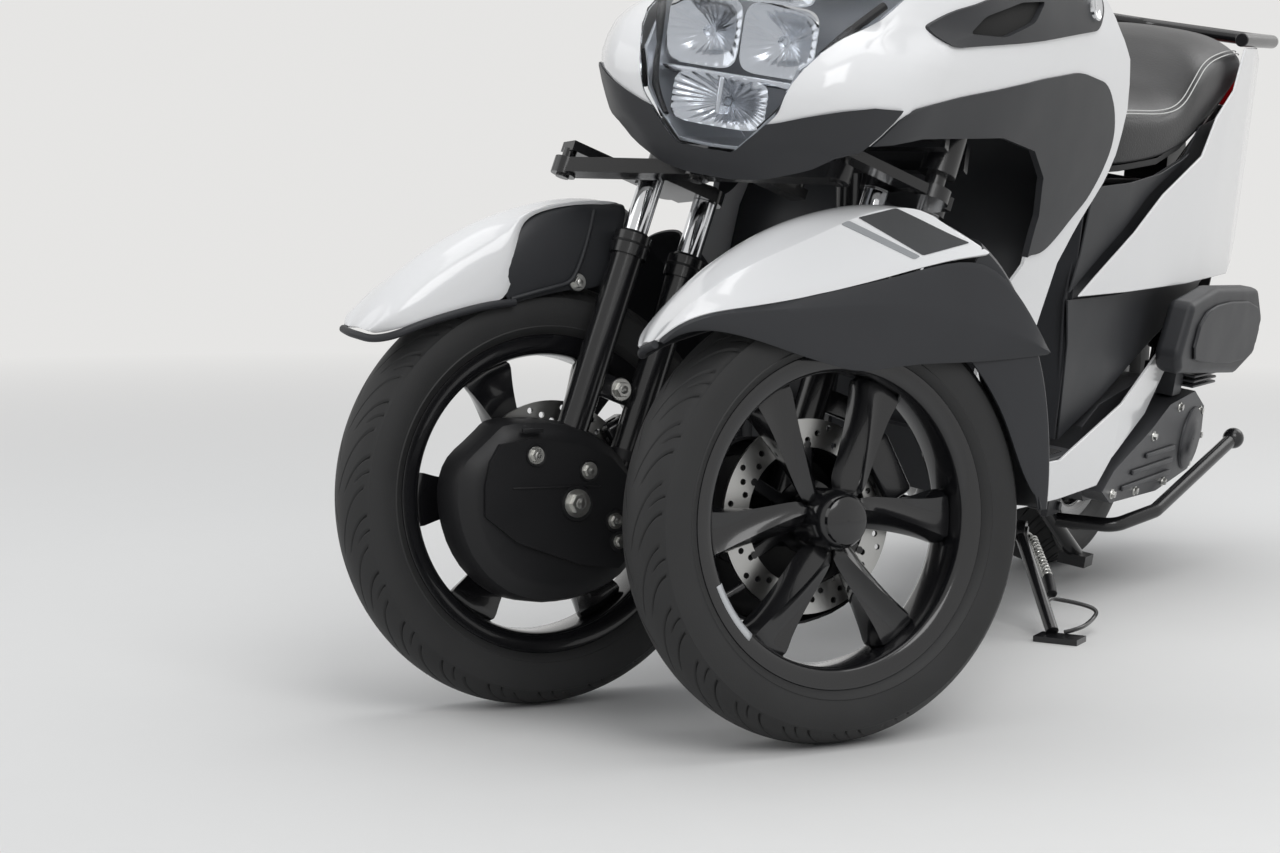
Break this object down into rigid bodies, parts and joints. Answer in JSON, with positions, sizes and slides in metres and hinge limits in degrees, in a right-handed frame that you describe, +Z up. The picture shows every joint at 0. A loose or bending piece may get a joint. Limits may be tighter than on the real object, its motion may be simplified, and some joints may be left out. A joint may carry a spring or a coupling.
{
  "type": "reverse trike",
  "caption": "Narrow leaning reverse-trike scooter on its side stand, steered front wheels on tandem forks, fenders, seat lid over storage.",
  "frame": {"origin": "on the ground, under the middle of the whole trike's box", "axes": "-Y is forward, +X is the rider's left, +Z is up; the trike leans to its left as parked"},
  "size_m": [0.8528, 1.9612, 1.2165],
  "materials": {
    "white_paint": "gloss",
    "dark_grey_plastic": "matte",
    "black_plastic": "matte",
    "black_metal": "satin",
    "rim_black": "gloss",
    "disc_steel": "brushed",
    "tyre_rubber": "matte",
    "clear_lens": "clear",
    "screen": "clear",
    "lamp_reflector": "mirror",
    "red_lens": "gloss",
    "seat_leather": "satin",
    "engine_grey": "satin",
    "mirror_black": "gloss"
  },
  "bodies": {
    "chassis": {"main_frame": "black_metal", "lean_linkage": "black_metal", "front_cowl": "white_paint", "lower_cowl": "dark_grey_plastic", "headlight_housing": "lamp_reflector", "headlight_lens": "clear_lens", "windscreen": "screen", "floor_and_leg_shield": "dark_grey_plastic", "side_sills": "white_paint", "under_seat_panels": "dark_grey_plastic", "tail_covers": "white_paint", "storage_tub": "black_plastic", "grab_rail": "black_metal", "tail_lamp": "red_lens", "rear_fender": "black_plastic", "engine_block": "engine_grey", "belt_case": "engine_grey", "air_cleaner_box": "dark_grey_plastic", "rear_shocks": "black_metal", "muffler": "black_metal"},
    "steering": {"handlebar": "black_metal", "handlebar_cover": "dark_grey_plastic", "mirrors": "mirror_black"},
    "tie_rod": {"tie_rod": "black_metal"},
    "side_stand": {"side_stand": "black_metal"},
    "centre_stand": {"centre_stand": "black_metal"},
    "seat": {"seat_pan": "black_plastic", "seat_cushion": "seat_leather"},
    "wheel_rear": {"tyre_rear": "tyre_rubber", "rim_rear": "rim_black", "disc_rear": "disc_steel"},
    "fork_left": {"fork_left": "black_metal", "hub_cover_left": "black_plastic", "fender_left": "white_paint", "fender_skirt_left": "dark_grey_plastic"},
    "wheel_front_left": {"tyre_front_left": "tyre_rubber", "rim_front_left": "rim_black", "disc_front_left": "disc_steel"},
    "fork_right": {"fork_right": "black_metal", "hub_cover_right": "black_plastic", "fender_right": "white_paint", "fender_skirt_right": "dark_grey_plastic"},
    "wheel_front_right": {"tyre_front_right": "tyre_rubber", "rim_front_right": "rim_black", "disc_front_right": "disc_steel"}
  },
  "joints": [
    {"name": "steering_turn", "type": "hinge", "parent": "chassis", "child": "steering", "pos_m": [-0.04061, -0.74039, 0.24788], "axis": [0.1405, 0.342, 0.9291], "range_deg": [0, 70]},
    {"name": "fork_left_turn", "type": "hinge", "parent": "chassis", "child": "fork_left", "pos_m": [0.13105, -0.73125, 0.24731], "axis": [0.1405, 0.342, 0.9291], "range_deg": [0, 70]},
    {"name": "wheel_front_left_spin", "type": "hinge", "parent": "fork_left", "child": "wheel_front_left", "pos_m": [0.13584, -0.76156, 0.2493], "axis": [0.8393, -0.539, 0.0715], "continuous": true},
    {"name": "fork_right_turn", "type": "hinge", "parent": "chassis", "child": "fork_right", "pos_m": [-0.212, -0.74887, 0.25024], "axis": [0.1405, 0.342, 0.9291], "range_deg": [0, 70]},
    {"name": "wheel_front_right_spin", "type": "hinge", "parent": "fork_right", "child": "wheel_front_right", "pos_m": [-0.24162, -0.75708, 0.2493], "axis": [0.8393, -0.539, 0.0715], "continuous": true},
    {"name": "tie_rod_turn", "type": "hinge", "parent": "fork_right", "child": "tie_rod", "pos_m": [-0.22671, -0.72108, 0.63246], "axis": [0.1405, 0.342, 0.9291], "range_deg": [-70, 0]},
    {"name": "wheel_rear_spin", "type": "hinge", "parent": "chassis", "child": "wheel_rear", "pos_m": [-0.03967, 0.58669, 0.25411], "axis": [0.9888, 0, -0.1495], "continuous": true},
    {"name": "side_stand_fold", "type": "hinge", "parent": "chassis", "child": "side_stand", "pos_m": [0.07696, 0.05169, 0.12917], "axis": [0.9839, 0.1715, -0.0497], "range_deg": [0, 120]},
    {"name": "centre_stand_fold", "type": "hinge", "parent": "chassis", "child": "centre_stand", "pos_m": [-0.05614, 0.32069, 0.14525], "axis": [0.9888, 0, -0.1495], "range_deg": [-44, 0]},
    {"name": "seat_lid", "type": "hinge", "parent": "chassis", "child": "seat", "pos_m": [0.01774, 0.12069, 0.63369], "axis": [0.9888, 0, -0.1495], "range_deg": [0, 72]}
  ],
  "couplings": [
    {"joint": "fork_left_turn", "follows": "steering_turn", "ratio": 1},
    {"joint": "fork_right_turn", "follows": "steering_turn", "ratio": 1},
    {"joint": "tie_rod_turn", "follows": "steering_turn", "ratio": -1}
  ]
}
